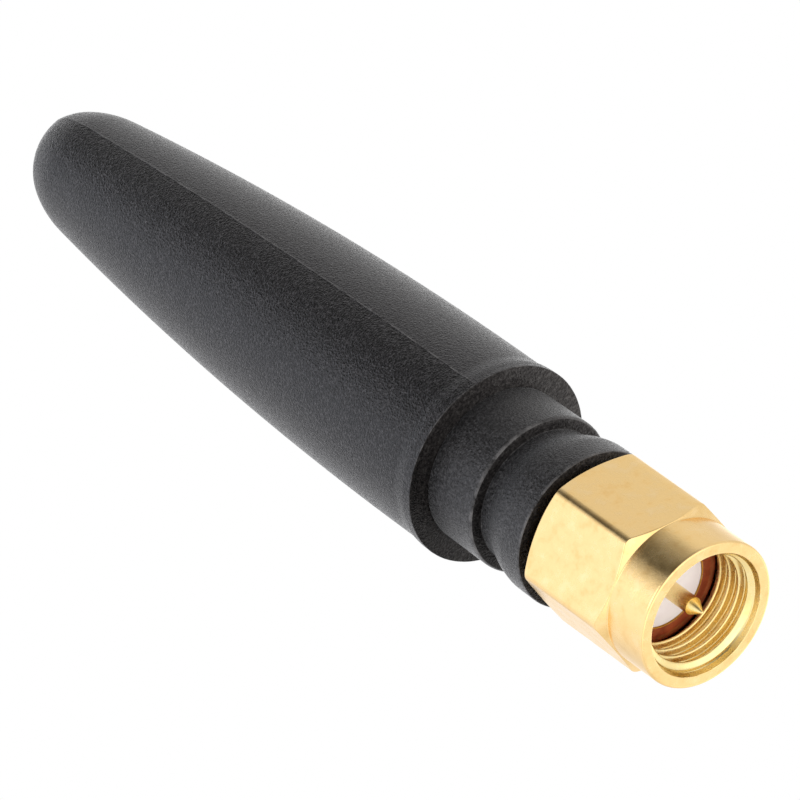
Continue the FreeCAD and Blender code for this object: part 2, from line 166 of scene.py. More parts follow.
# Studio: pale walls with a dim gap in them, a white board in front of the plug, a floor and a soft lamp


# Colour of the walls by azimuth, in degrees from +X towards +Y; the dim gap lies round -104
WALLS = (
    (-180, (1.22, 1.30, 1.46)),
    (-150, (1.12, 1.20, 1.34)),
    (-130, (0.86, 0.89, 0.96)),
    (-114, (0.46, 0.47, 0.50)),
    (-104, (0.05, 0.05, 0.05)),
    (-86, (0.16, 0.16, 0.16)),
    (-62, (0.42, 0.42, 0.42)),
    (-42, (0.90, 0.90, 0.90)),
    (10, (0.86, 0.86, 0.86)),
    (25, (0.98, 0.98, 0.98)),
    (48, (1.60, 1.60, 1.60)),
    (64, (1.60, 1.60, 1.60)),
    (80, (1.04, 1.04, 1.05)),
    (102, (0.90, 0.90, 0.92)),
    (150, (1.10, 1.12, 1.18)),
    (180, (1.22, 1.30, 1.46)),
)
# Grey level of the board below, from straight down at 0 to level at 0.5
BOARD = (
    (0.0, 1.65),
    (0.05, 1.60),
    (0.16, 0.90),
    (0.5, 0.90),
)
BOARD_LOW = -0.72           # board and walls meet between these upward parts of the direction
BOARD_HIGH = -0.45
WALL_LIGHT = 0.80           # matt surfaces get this much of the walls' light, gloss shows all of it
BOARD_LIGHT = 1.20          # and this much of the board's
FLOOR_HALF = 0.6            # metres
FLOOR_DROP = 0.02 * MM      # keeps the floor's face off the nut's front ring
FLOOR_COLOUR = (0.86, 0.86, 0.86, 1)
WHITE = (1, 1, 1, 1)
LAMP_PLACE = (-0.45, 0.10, 0.25)    # right, up and back of the aim, metres
LAMP_SIDE = 0.30
LAMP_POWER = 0.35


def room_colour(tree):
    """Colour of the walls and the board in each direction, and the walls' share in it."""
    direction = tree.nodes.new("ShaderNodeTexCoord").outputs["Generated"]
    around = tree.nodes.new("ShaderNodeTexGradient")
    around.gradient_type = "RADIAL"
    tree.links.new(direction, around.inputs["Vector"])
    stops = [((azimuth + 180) / 360, tone) for azimuth, tone in WALLS]
    walls = colour_ramp(tree, around.outputs["Fac"], stops)
    upward = split_axes(tree, direction)["Z"]
    board = colour_ramp(tree, math_node(tree, "MULTIPLY_ADD", upward, 0.5, 0.5), BOARD)
    above = map_range(tree, upward, BOARD_LOW, BOARD_HIGH, smooth=True)
    return blend_colours(tree, above, board, walls), above


def make_world():
    """White behind the object; walls and a board round it for reflections and light."""
    world = bpy.data.worlds.new("studio")
    bpy.context.scene.world = world
    tree = new_tree(world)
    colour, above = room_colour(tree)
    rays = tree.nodes.new("ShaderNodeLightPath").outputs
    mirrored = math_node(tree, "MAXIMUM", rays["Is Glossy Ray"], rays["Is Transmission Ray"])
    lit = math_node(tree, "MULTIPLY_ADD", above, WALL_LIGHT - BOARD_LIGHT, BOARD_LIGHT)
    rest = math_node(tree, "MULTIPLY", mirrored, math_node(tree, "SUBTRACT", 1.0, lit))
    room = tree.nodes.new("ShaderNodeBackground")
    tree.links.new(colour, room.inputs["Color"])
    tree.links.new(math_node(tree, "ADD", rest, lit), room.inputs["Strength"])
    white = tree.nodes.new("ShaderNodeBackground")
    white.inputs["Color"].default_value = WHITE
    finish_tree(tree, "ShaderNodeOutputWorld", rays["Is Camera Ray"], room, white)


def make_floor():
    """Pale floor that is seen from above and lets everything through from below."""
    far = FLOOR_HALF
    corners = [(-far, -far, 0), (far, -far, 0), (far, far, 0), (-far, far, 0)]
    mesh = bpy.data.meshes.new("floor")
    mesh.from_pydata(corners, [], [(0, 1, 2, 3)])
    floor = bpy.data.objects.new("floor", mesh)
    floor.location.z = -FLOOR_DROP
    bpy.context.scene.collection.objects.link(floor)
    material = bpy.data.materials.new("floor")
    tree = new_tree(material)
    seen = tree.nodes.new("ShaderNodeLightPath").outputs["Is Camera Ray"]
    below = tree.nodes.new("ShaderNodeNewGeometry").outputs["Backfacing"]
    above = math_node(tree, "SUBTRACT", seen, below, clamp=True)
    clear = tree.nodes.new("ShaderNodeBsdfTransparent")
    pale = tree.nodes.new("ShaderNodeBsdfDiffuse")
    pale.inputs["Color"].default_value = FLOOR_COLOUR
    finish_tree(tree, "ShaderNodeOutputMaterial", above, clear, pale)
    mesh.materials.append(material)


def make_lamp():
    right, up, back = camera_axes()
    data = bpy.data.lights.new("soft_lamp", "AREA")
    data.shape = "SQUARE"
    data.size = LAMP_SIDE
    data.energy = LAMP_POWER
    lamp = bpy.data.objects.new("soft_lamp", data)
    spot = CAMERA_AIM + right * LAMP_PLACE[0] + up * LAMP_PLACE[1] + back * LAMP_PLACE[2]
    lamp.location = spot
    lamp.rotation_mode = "QUATERNION"
    lamp.rotation_quaternion = (CAMERA_AIM - spot).to_track_quat("-Z", "Y")
    lamp.visible_camera = False
    bpy.context.scene.collection.objects.link(lamp)


# Materials


def shader_of(material):
    return material.node_tree.nodes["Principled BSDF"]


def new_material(name, colour, roughness, metallic=0.0):
    """Plain material; what is linked to a socket later takes the place of its plain value."""
    material = bpy.data.materials.new(name)
    material.use_nodes = True
    shader = shader_of(material)
    shader.inputs["Base Color"].default_value = (*colour, 1)
    shader.inputs["Roughness"].default_value = roughness
    shader.inputs["Metallic"].default_value = metallic
    return material


def noise(material, scale_mm, detail=2.0, roughness=0.5, stretch=(1, 1, 1)):
    """Noise whose coarsest lumps are about scale_mm across, from the object's own coordinates."""
    tree = material.node_tree
    place = tree.nodes.new("ShaderNodeTexCoord").outputs["Object"]
    fit = tree.nodes.new("ShaderNodeMapping")
    fit.inputs["Scale"].default_value = tuple(side / (scale_mm * MM) for side in stretch)
    tree.links.new(place, fit.inputs["Vector"])
    texture = tree.nodes.new("ShaderNodeTexNoise")
    texture.inputs["Scale"].default_value = 1.0
    texture.inputs["Detail"].default_value = detail
    texture.inputs["Roughness"].default_value = roughness
    tree.links.new(fit.outputs[0], texture.inputs["Vector"])
    return texture.outputs["Fac"]


def ramp(material, value, stops):
    return colour_ramp(material.node_tree, value, stops)


def set_socket(material, name, source):
    material.node_tree.links.new(source, shader_of(material).inputs[name])


def relief(material, *layers):
    """Bump from several (height socket, depth in mm) layers, one on top of the other."""
    tree = material.node_tree
    normal = None
    for height, depth in layers:
        bump = tree.nodes.new("ShaderNodeBump")
        bump.inputs["Strength"].default_value = 1.0
        bump.inputs["Distance"].default_value = depth * MM
        tree.links.new(height, bump.inputs["Height"])
        if normal is not None:
            tree.links.new(normal, bump.inputs["Normal"])
        normal = bump.outputs["Normal"]
    set_socket(material, "Normal", normal)


# Pale lines on the rubber, partly wear and partly painted highlight where edges catch the light: axis,
# place and half width in mm. The first is the mould's seam
WORN_HIGHLIGHT_LINES = (
    ("X", 0.0, 0.040),
    ("Z", 16.45, 0.08),
    ("Z", 13.02, 0.14),
    ("Z", 9.21, 0.10),
)
WORN_HIGHLIGHT_CORE = 0.4             # share of the half width that is pale all through
WORN_HIGHLIGHT_PATCH = 0.7            # mm, size of the patches that break the lines up
WORN_HIGHLIGHT_CONTRAST = 4.0         # how sharply a patch ends
WORN_HIGHLIGHT_SHIFT = -1.5           # lower leaves fewer patches
# pale grey of the lines: wear and painted highlight
WORN_HIGHLIGHT_COLOUR = (0.125, 0.118, 0.115, 1)
SEAM_FROM = 16.4            # mm, the neck below it has no seam


def worn_highlight_lines(material, place, base):
    """The base colour with pale, broken lines along the seam, the lip and the neck's rims: partly wear,
    partly painted highlight.
    """
    tree = material.node_tree
    worn_highlights = None
    for axis, centre, half in WORN_HIGHLIGHT_LINES:
        apart = math_node(tree, "ABSOLUTE", math_node(tree, "SUBTRACT", place[axis], centre * MM))
        line = map_range(tree, apart, half * MM, half * MM * WORN_HIGHLIGHT_CORE)
        if axis == "X":
            over_neck = math_node(tree, "GREATER_THAN", place["Z"], SEAM_FROM * MM)
            line = math_node(tree, "MULTIPLY", line, over_neck)
        worn_highlights = line if worn_highlights is None else math_node(tree, "MAXIMUM", worn_highlights, line)
    patches = noise(material, WORN_HIGHLIGHT_PATCH, detail=2.0)
    patches = math_node(tree, "MULTIPLY_ADD", patches, WORN_HIGHLIGHT_CONTRAST, WORN_HIGHLIGHT_SHIFT, clamp=True)
    return blend_colours(tree, math_node(tree, "MULTIPLY", worn_highlights, patches), base, WORN_HIGHLIGHT_COLOUR)


GRAIN = 0.10                # mm, size of the mould's spark-eroded grain
GRAIN_DEPTH = 0.058
LUMPS = 1.6                 # mm, broad unevenness of the moulding
LUMPS_DEPTH = 0.02
PITS = 0.14                 # mm, size of the spots that vary the grey
PIT_STOPS = (0.36, 0.52, 0.70)
# Roughness by the height of the grain: dull in its pits, glossier on top
RUBBER_ROUGHNESS = ((0.35, 0.44), (0.62, 0.24))
RUBBER_TINT = (1.0, 0.95, 0.92, 1)
SHEEN_ROUGHNESS = 0.35

# Dark, middle and pale grey of the spots, for the mould half at -X and then the one at +X; the +X
# half's paler greys are painted light, on the side the light falls on
RUBBER_GREYS = (
    ((0.002, 0.002, 0.002), (0.008, 0.007, 0.008), (0.044, 0.041, 0.042)),
    ((0.024, 0.022, 0.023), (0.031, 0.029, 0.030), (0.042, 0.039, 0.040)),
)
# Painted light: the neck's greys are paler than the radome's, and paler again on the +X half
NECK_GREYS = (
    ((0.010, 0.009, 0.009), (0.026, 0.025, 0.025), (0.060, 0.057, 0.057)),
    ((0.034, 0.032, 0.032), (0.044, 0.042, 0.042), (0.058, 0.055, 0.055)),
)
# Painted shade on the faces that look towards the plug: much darker greys, darkest on the -X half and
# lighter towards +X
END_SHADE_GREYS = (
    ((0.001, 0.001, 0.001), (0.004, 0.003, 0.003), (0.012, 0.011, 0.010)),
    ((0.030, 0.027, 0.026), (0.055, 0.050, 0.048), (0.090, 0.084, 0.080)),
)


def black_rubber(name, greys, gloss, sheen, blend_mm, worn_highlights):
    """Black rubber with the mould's grain, a little paler on the half at +X: painted light on the side
    the light falls on.

    The halves meet over blend_mm on either side of the parting plane. The last argument adds the pale
    lines of wear and painted highlight.
    """
    material = new_material(name, (0.02, 0.02, 0.02), roughness=0.34)
    tree = material.node_tree
    grain = noise(material, GRAIN, detail=1.0)
    pits = noise(material, PITS, detail=1.0)
    lumps = noise(material, LUMPS, detail=2.0)
    relief(material, (lumps, LUMPS_DEPTH), (grain, GRAIN_DEPTH))
    dark, pale = (ramp(material, pits, list(zip(PIT_STOPS, tones))) for tones in greys)
    place = split_axes(tree, tree.nodes.new("ShaderNodeTexCoord").outputs["Object"])
    # Painted light: the +X half gets the paler greys
    side = map_range(tree, place["X"], -blend_mm * MM, blend_mm * MM)
    base = blend_colours(tree, side, dark, pale)
    # Pale lines of wear and painted highlight
    if worn_highlights:
        base = worn_highlight_lines(material, place, base)
    set_socket(material, "Base Color", base)
    set_socket(material, "Roughness", ramp(material, grain, RUBBER_ROUGHNESS))
    shader = shader_of(material)
    shader.inputs["Specular IOR Level"].default_value = gloss
    shader.inputs["Specular Tint"].default_value = RUBBER_TINT
    shader.inputs["Sheen Weight"].default_value = sheen
    shader.inputs["Sheen Roughness"].default_value = SHEEN_ROUGHNESS
    return material


# Dark, middle and pale tone of the gold outside; the paler tones inside the mouth and on the pin are
# painted light against the shade there
OUTER_GOLD = ((0.88, 0.57, 0.22), (0.95, 0.66, 0.29), (0.99, 0.72, 0.36))
INNER_GOLD = ((0.93, 0.69, 0.28), (0.98, 0.77, 0.35), (0.99, 0.82, 0.42))
GOLD_STOPS = (0.25, 0.5, 0.75)
GOLD_ROUGHNESS = ((0.3, 0.20), (0.7, 0.30))


def gold_plate(name, tones):
    """Satin gold over turned brass, a little mottled."""
    material = new_material(name, (1.0, 0.72, 0.34), roughness=0.22, metallic=1.0)
    mottle = noise(material, scale_mm=0.9, detail=4.0, roughness=0.6)
    fine = noise(material, scale_mm=0.12, detail=2.0)
    set_socket(material, "Base Color", ramp(material, mottle, list(zip(GOLD_STOPS, tones))))
    set_socket(material, "Roughness", ramp(material, mottle, GOLD_ROUGHNESS))
    relief(material, (mottle, 0.006), (fine, 0.003))
    return material


def white_insulator():
    """Waxy white fluoropolymer with faint facing marks."""
    material = new_material("white_insulator", (0.80, 0.78, 0.82), roughness=0.38)
    cloud = noise(material, scale_mm=1.2, detail=3.0)
    set_socket(material, "Base Color", ramp(material, cloud, [
        (0.3, (0.90, 0.85, 0.88)),
        (0.7, (0.96, 0.92, 0.94)),
    ]))
    relief(material, (noise(material, scale_mm=0.25, detail=2.0), 0.01))
    return material


def red_seal():
    """Soft brownish red silicone with a slight shine."""
    material = new_material("red_seal", (0.22, 0.045, 0.02), roughness=0.32)
    cloud = noise(material, scale_mm=0.5, detail=3.0)
    set_socket(material, "Base Color", ramp(material, cloud, [
        (0.3, (0.21, 0.036, 0.013)),
        (0.7, (0.37, 0.075, 0.026)),
    ]))
    relief(material, (noise(material, scale_mm=0.2, detail=2.0), 0.02))
    return material


def drawn_wire(name, colour):
    """Metal with fine drawing marks."""
    material = new_material(name, colour, roughness=0.3, metallic=1.0)
    marks = noise(material, scale_mm=0.1, detail=2.0)
    set_socket(material, "Roughness", ramp(material, marks, [(0.3, 0.24), (0.7, 0.4)]))
    relief(material, (marks, 0.004))
    return material


def shrink_film():
    """Thin matt black film with faint wrinkles."""
    material = new_material("shrink_film", (0.03, 0.03, 0.032), roughness=0.5)
    wrinkles = noise(material, scale_mm=0.8, detail=3.0, stretch=(1, 1, 0.25))
    set_socket(material, "Roughness", ramp(material, wrinkles, [(0.3, 0.42), (0.7, 0.6)]))
    relief(material, (wrinkles, 0.05))
    return material


def dress(node, material):
    mesh = nodes[node].data
    mesh.materials.clear()
    mesh.materials.append(material)


# Mesh pieces. All sizes from here on are in mm


END_FACING = -0.85          # upward part of the normal, below which a face is an end face
EDGE_REACH = 0.4            # a rounded edge takes at most this share of the sides next to it
EDGE_GUARD = 0.04           # strip that keeps a rounded edge's shading off the flats
GUARD_REACH = 0.08          # the strip's largest share of a side
WELD = 0.0002               # points closer than this are one point


def eased(share):
    """Smooth step from 0 to 1."""
    share = min(max(share, 0.0), 1.0)
    return share * share * (3 - 2 * share)


def softened(points, steps=4):
    """Rounds the corners of a polyline, but not its two ends.

    A point may carry a third item, its corner radius. Every call with the same corners gives
    the same number of points.
    """
    result = []
    for index, point in enumerate(points):
        here = Vector(point[:2])
        if len(point) < 3 or index in (0, len(points) - 1):
            result.append(here)
            continue
        back = Vector(points[index - 1][:2]) - here
        ahead = Vector(points[index + 1][:2]) - here
        turn = math.pi - back.angle(ahead)
        reach = point[2] * math.tan(turn / 2)
        reach = min(reach, back.length * EDGE_REACH, ahead.length * EDGE_REACH)
        start = here + back.normalized() * reach
        finish = here + ahead.normalized() * reach
        result.append(start + back.normalized() * min(EDGE_GUARD, back.length * GUARD_REACH))
        for step in range(steps + 1):
            share = step / steps
            first = start.lerp(here, share)
            second = here.lerp(finish, share)
            result.append(first.lerp(second, share))
        result.append(finish + ahead.normalized() * min(EDGE_GUARD, ahead.length * GUARD_REACH))
    return result


def grid_faces(height, width, closed):
    """Quads of a grid with height rows and width columns."""
    faces = []
    for upper in range(height - 1):
        for left in range(width if closed else width - 1):
            right = (left + 1) % width
            faces.append((
                upper * width + left,
                upper * width + right,
                (upper + 1) * width + right,
                (upper + 1) * width + left,
            ))
    return faces


def make_piece(name, points, faces, material):
    """Smooth mesh object, with coinciding points merged."""
    mesh = bpy.data.meshes.new(name)
    mesh.from_pydata([Vector(point) * MM for point in points], [], faces)
    skin = bmesh.new()
    skin.from_mesh(mesh)
    bmesh.ops.remove_doubles(skin, verts=skin.verts, dist=WELD * MM)
    skin.to_mesh(mesh)
    skin.free()
    mesh.polygons.foreach_set("use_smooth", [True] * len(mesh.polygons))
    mesh.materials.append(material)
    piece = bpy.data.objects.new(name, mesh)
    bpy.context.scene.collection.objects.link(piece)
    return piece


def lathe(name, profile, columns, material):
    """Turned piece from a (radius, height) profile, whose last row isn't joined to its first."""
    rows = []
    for radius, height in profile:
        row = []
        for column in range(columns):
            angle = 2 * math.pi * column / columns
            row.append((radius * math.cos(angle), radius * math.sin(angle), height))
        rows.append(row)
    points = [point for row in rows for point in row]
    return make_piece(name, points, grid_faces(len(rows), columns, True), material)


def shade_end_faces(piece, material):
    """Gives the flat faces that look towards the plug a darker material with less gloss: painted shade.
    """
    piece.data.materials.append(material)
    for face in piece.data.polygons:
        if face.normal.z < END_FACING:
            face.material_index = 1


def finish_piece(piece, body, slot, *replaced):
    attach(piece, body)
    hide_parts(*replaced)


# Coupling nut: sliced by azimuth, so that hexagon, chamfers and thread are one skin


NUT_FLATS = 8.0
NUT_LEN = 8.8
NUT_NOSE_DIA = 7.9
NUT_NOSE_LEN = 2.6
NUT_CHAMFER = 30.0
NUT_REAR_DIA = 7.5
NUT_TURN = 9.7              # degrees from +X to the middle of a corner
NUT_CORNER = 0.55           # rounding of the hexagon's corners
NUT_EDGE = 0.07             # rounding of the turned edges
NUT_FRONT_EDGE = 0.13
NUT_REAR_EDGE = 0.11
NUT_BORE = 2.88
BORE_CHAMFER = 0.05
BORE_EDGE = 0.03
RELIEF_RADIUS = 3.2         # of the room behind the thread and of the snap ring's groove
RELIEF_END = 4.59           # rear end of the room behind the thread
RING_LOW = 6.21             # grooves of the snap ring, in the nut and in the plug
RING_HIGH = 6.94
MOUTH_RADIUS = 3.33
MOUTH_LAND = 0.04           # flat strip of the front ring next to the mouth
MOUTH_DEPTH = 0.3
MOUTH_TAPER = 0.11          # how much the steep part of the countersink narrows
RUN_IN_SLOPE = 1.3          # how fast it narrows behind that, down to the thread
THREAD_PITCH = 25.4 / 36
THREAD_CREST = 2.85
THREAD_ROOT = 3.19
CREST_HALF = 0.05           # half a crest, as a share of the pitch
FLANK = 0.22                # one flank, as a share of the pitch
THREAD_END = 3.1
THREAD_ROWS = 24            # rows of the skin in each turn
THREAD_TURNS = 6            # enough rows for every slice, the spare ones fold up at the ends
THREAD_START = 0.88         # in turns, sets where the first crest leaves the mouth
CORNER_BEND = 60            # degrees, from one flat to the next
FLAT_COLUMNS = 26
CORNER_COLUMNS = 8


def hexagon_columns():
    """(angle, radius) pairs round the hexagon, with its corners rounded."""
    half_bend = CORNER_BEND / 2
    inner = NUT_FLATS / 2
    centre = (inner - NUT_CORNER) / math.cos(math.radians(half_bend))
    # Half of the angle that a rounded corner takes up, seen from the axis; it is NUT_CORNER wide
    swing = math.degrees(math.atan2(
        NUT_CORNER / 2,
        centre + NUT_CORNER * math.cos(math.radians(half_bend)),
    ))
    pairs = []
    for corner in range(6):
        middle = NUT_TURN + CORNER_BEND * corner
        for step in range(CORNER_COLUMNS + 1):
            bend = math.radians(-half_bend + CORNER_BEND * step / CORNER_COLUMNS)
            across = NUT_CORNER * math.sin(bend)
            along = centre + NUT_CORNER * math.cos(bend)
            pairs.append((middle + math.degrees(math.atan2(across, along)), math.hypot(across, along)))
        for step in range(1, FLAT_COLUMNS):
            angle = swing + (CORNER_BEND - 2 * swing) * step / FLAT_COLUMNS
            pairs.append((middle + angle, inner / math.cos(math.radians(angle - half_bend))))
    return pairs


def thread_radius(phase):
    """Radius of the inner thread: narrow flat crests, smooth flanks and wide flat roots."""
    distance = abs((phase % 1.0) - 0.5)
    return THREAD_CREST + (THREAD_ROOT - THREAD_CREST) * eased((distance - CREST_HALF) / FLANK)


def mouth_radius(height):
    """Countersink: steep at the mouth, then down to the thread's first crest."""
    steep = MOUTH_RADIUS - MOUTH_TAPER * height / MOUTH_DEPTH
    run_in = MOUTH_RADIUS - MOUTH_TAPER - (height - MOUTH_DEPTH) * RUN_IN_SLOPE
    return min(steep, run_in)


def nut_outside(outer):
    """The nut's profile at one azimuth, from the mouth's edge round to the thread's end."""
    slope = math.tan(math.radians(NUT_CHAMFER))
    nose = NUT_NOSE_DIA / 2
    rear = NUT_REAR_DIA / 2
    return softened([
        (MOUTH_RADIUS, 0),
        (MOUTH_RADIUS + MOUTH_LAND, 0),
        (nose, 0, NUT_FRONT_EDGE),
        (nose, NUT_NOSE_LEN, NUT_EDGE),
        (outer, NUT_NOSE_LEN + (outer - nose) * slope, NUT_EDGE),
        (outer, NUT_LEN - (outer - rear) * slope, NUT_REAR_EDGE),
        (rear, NUT_LEN, NUT_REAR_EDGE),
        (NUT_BORE + BORE_CHAMFER, NUT_LEN, BORE_EDGE),
        (NUT_BORE, NUT_LEN - BORE_CHAMFER),
        (NUT_BORE, RING_HIGH),
        (RELIEF_RADIUS, RING_HIGH),
        (RELIEF_RADIUS, RING_LOW),
        (NUT_BORE, RING_LOW),
        (NUT_BORE, RELIEF_END),
        (RELIEF_RADIUS, RELIEF_END),
        (RELIEF_RADIUS, THREAD_END),
    ])


def nut_inside(angle):
    """Thread and countersink at one azimuth, from the thread's end back to the mouth.

    Each row of the skin follows the helix, so the crest and root stay crisp.
    """
    points = []
    for row in range(THREAD_TURNS * THREAD_ROWS, -1, -1):
        height = (row / THREAD_ROWS - 1 + angle / 360) * THREAD_PITCH
        height = min(max(height, 0.0), THREAD_END)
        phase = height / THREAD_PITCH - angle / 360 + THREAD_START
        points.append((max(thread_radius(phase), mouth_radius(height)), height))
    return points


def closing_faces(height, width, outside_rows):
    """Quads from the last slice to the first one, which on the thread is a whole turn further on."""
    faces = []
    for row in range(height - 1):
        step = 0
        if row >= outside_rows:
            step = THREAD_ROWS
            if row - step < outside_rows:
                continue
        faces.append((
            row * width + width - 1,
            (row - step) * width,
            (row - step + 1) * width,
            (row + 1) * width + width - 1,
        ))
    return faces


def brighten_thread(piece, material):
    """Gives the thread and the countersink the paler gold, painted light against the shade in the
    mouth.
    """
    piece.data.materials.append(material)
    for face in piece.data.polygons:
        inside = math.hypot(face.center.x, face.center.y) < MOUTH_RADIUS * MM
        if inside and face.center.z < THREAD_END * MM:
            face.material_index = 1


def make_nut(gold, bright):
    columns = hexagon_columns()
    first_angle = columns[0][0]
    slices = []
    for angle, outer in columns:
        outside = [tuple(point) for point in nut_outside(outer)]
        inside = nut_inside((angle - first_angle) % 360)
        turn = math.radians(angle)
        slices.append([(r * math.cos(turn), r * math.sin(turn), z) for r, z in outside + inside])
    width = len(slices)
    height = len(slices[0])
    points = [one_slice[row] for row in range(height) for one_slice in slices]
    faces = grid_faces(height, width, False) + closing_faces(height, width, len(outside))
    piece = make_piece("coupling_nut_skin", points, faces, gold)
    brighten_thread(piece, bright)
    finish_piece(piece, "nut", "gold_plate", "coupling_nut")


# Radome: two mould halves that lean a little towards each other


RADOME_FACE = 16.42
OVERALL_LEN = 54.3
LIP_RADIUS = 5.36
LIP_LEN = 1.1               # the side's arc starts at this height over the face
# The lip's rounded front edge: how far inside the lip's radius, and how high over the face
LIP_EDGE = ((0.09, 0.0), (0.05, 0.0), (0.015, 0.015), (0.0, 0.05), (0.003, 0.12))
LIP_FROM = 0.3              # the lip's side goes on at this height over the face
LIP_INSET = 0.008           # and lies this far inside the lip's radius
LIP_STEPS = 16
SLOPE_LOW = 0.45            # the lip runs into the side between these heights over the face
SLOPE_HIGH = 1.45
FOOT_RADIUS = 5.24
SIDE_LEAN = 0.8             # degrees, lean of the side at the foot
SIDE_STEPS = 80
SHOULDER_RADIUS = 3.7
SHOULDER_STEPS = 30
NOSE_LEN = 4.25
NOSE_BULGE = 3.4
NOSE_STEPS = 40
TIP_DIP = 0.02              # how far the seam lies below the tip
SEAM_LEAN = 0.5             # degrees, lean of each half towards the other
SEAM_RIDGE = 0.030          # height of the fine flash on the seam where it is highest
SEAM_SPREAD = 0.04
FLASH_LEVEL = 0.55          # mean height of the flash and its waver, as shares of the ridge
FLASH_WAVER = 0.9
FLASH_WAVES = 0.9           # per mm of height
WEAR_DEPTH = 0.012          # fine dents in the lip
WEAR_WAVES = 24             # per radian round the lip
WEAR_STRETCH = 0.25         # a mm of height counts as this part of a radian
SOCKET_RADIUS = 3.93
SOCKET_END = 21.42
SOCKET_EDGE = 0.06          # strip of the face round the socket
# (radius, height) of the coil's room, from the socket's end up
CAVITY = ((3.37, 21.42), (2.57, 48.1), (1.28, 49.3), (0.0, 49.3))
# Places of the columns next to a seam, and how many more there are up to the middle of a half
SEAM_SHARES = [0.0, 0.0015, 0.0035, 0.006, 0.01, 0.016, 0.025]
QUARTER_COLUMNS = 42


def arc_points(centre, start, finish, steps):
    """Points along the short arc from start to finish round a centre."""
    first = start - centre
    last = finish - centre
    begin = math.atan2(first.y, first.x)
    turn = math.atan2(last.y, last.x) - begin
    points = []
    for step in range(steps + 1):
        angle = begin + turn * step / steps
        points.append(centre + Vector((math.cos(angle), math.sin(angle))) * first.length)
    return points


def lip_points(side, bulge):
    """The lip, and its run into the side, which is an arc of radius bulge round the point side."""
    points = [Vector((LIP_RADIUS - inset, RADOME_FACE + rise)) for inset, rise in LIP_EDGE]
    for step in range(LIP_STEPS + 1):
        height = RADOME_FACE + LIP_FROM + (SLOPE_HIGH - LIP_FROM) * step / LIP_STEPS
        share = eased((height - RADOME_FACE - SLOPE_LOW) / (SLOPE_HIGH - SLOPE_LOW))
        radius = side.x + math.sqrt(bulge ** 2 - (height - side.y) ** 2)
        gap = radius - LIP_RADIUS + LIP_INSET
        points.append(Vector((LIP_RADIUS - LIP_INSET + gap * share, height)))
    return points


def radome_side():
    """Outer profile of a mould half as (radius, height): lip, side, shoulder and nose.

    Side, shoulder and nose are arcs, and the last two meet the one before without a corner.
    """
    lean = math.radians(SIDE_LEAN)
    start = Vector((FOOT_RADIUS, RADOME_FACE + LIP_LEN))
    turn = Vector((SHOULDER_RADIUS, OVERALL_LEN - NOSE_LEN))
    inwards = start.x - turn.x
    along = turn.y - start.y
    bulge = (inwards ** 2 + along ** 2) / (2 * (inwards * math.cos(lean) + along * math.sin(lean)))
    side = start + Vector((-math.cos(lean), math.sin(lean))) * bulge
    nose = Vector((0, OVERALL_LEN - NOSE_BULGE))
    toward = (side - turn).normalized()
    apart = turn - nose
    shoulder_bulge = (NOSE_BULGE ** 2 - apart.length_squared) / (2 * (toward.dot(apart) + NOSE_BULGE))
    shoulder = turn + toward * shoulder_bulge
    join = nose + (nose - shoulder).normalized() * NOSE_BULGE
    points = lip_points(side, bulge)
    for point in arc_points(side, start, turn, SIDE_STEPS):
        if point.y > RADOME_FACE + SLOPE_HIGH:
            points.append(point)
    points += arc_points(shoulder, turn, join, SHOULDER_STEPS)[1:]
    points += arc_points(nose, join, Vector((0, OVERALL_LEN)), NOSE_STEPS)[1:]
    return points


def half_shares():
    """Places of a half's columns from seam to seam, from -1 to 1 and closer at the seams."""
    close = SEAM_SHARES[-1]
    middle = [close + (1 - close) * step / QUARTER_COLUMNS for step in range(1, QUARTER_COLUMNS + 1)]
    left = [share - 1 for share in SEAM_SHARES + middle]
    return left + [-share for share in reversed(left[:-1])]


def inner_row(radius, height, shares):
    """One row of the socket or the coil's room, from the seam at -Y to the seam at +Y."""
    row = []
    for share in shares:
        angle = share * math.pi / 2
        across = radius * math.cos(angle)
        rise = 0.0
        if height == RADOME_FACE:
            rise = across * math.tan(math.radians(SEAM_LEAN))
        row.append((across, radius * math.sin(angle), height + rise))
    return row


def lip_wear(angle, height):
    """Depth of the fine dents at one spot of the lip."""
    spot = Vector((math.cos(angle), math.sin(angle), height * WEAR_STRETCH)) * WEAR_WAVES
    return WEAR_DEPTH * max(0.0, perlin.noise(spot))


def outer_row(radius, height, shares):
    """One row of the outside, leaning towards the other half, from the seam at -Y to the one at +Y."""
    lean = math.radians(SEAM_LEAN)
    rise = height - RADOME_FACE
    # The row ends where the leaning surface, without its flash, meets the parting plane. With
    # the flash it stays a little short of that plane, which leaves a fine slit in the seam
    reach = 0.0
    if radius > rise * math.tan(lean):
        reach = math.acos(rise * math.tan(lean) / radius)
    flash = FLASH_LEVEL + FLASH_WAVER * perlin.noise(Vector((0, 0, height * FLASH_WAVES)))
    row = []
    for share in shares:
        angle = share * reach
        from_seam = (1 - abs(share)) * reach * radius
        ridge = SEAM_RIDGE * flash * math.exp(-(from_seam / SEAM_SPREAD) ** 2)
        proud = min(radius + ridge, LIP_RADIUS)
        if rise < LIP_LEN / 2:
            proud -= lip_wear(angle, height)
        across = proud * math.cos(angle)
        row.append((
            max(across * math.cos(lean) - rise * math.sin(lean), 0.0),
            proud * math.sin(angle),
            RADOME_FACE + across * math.sin(lean) + rise * math.cos(lean),
        ))
    return row


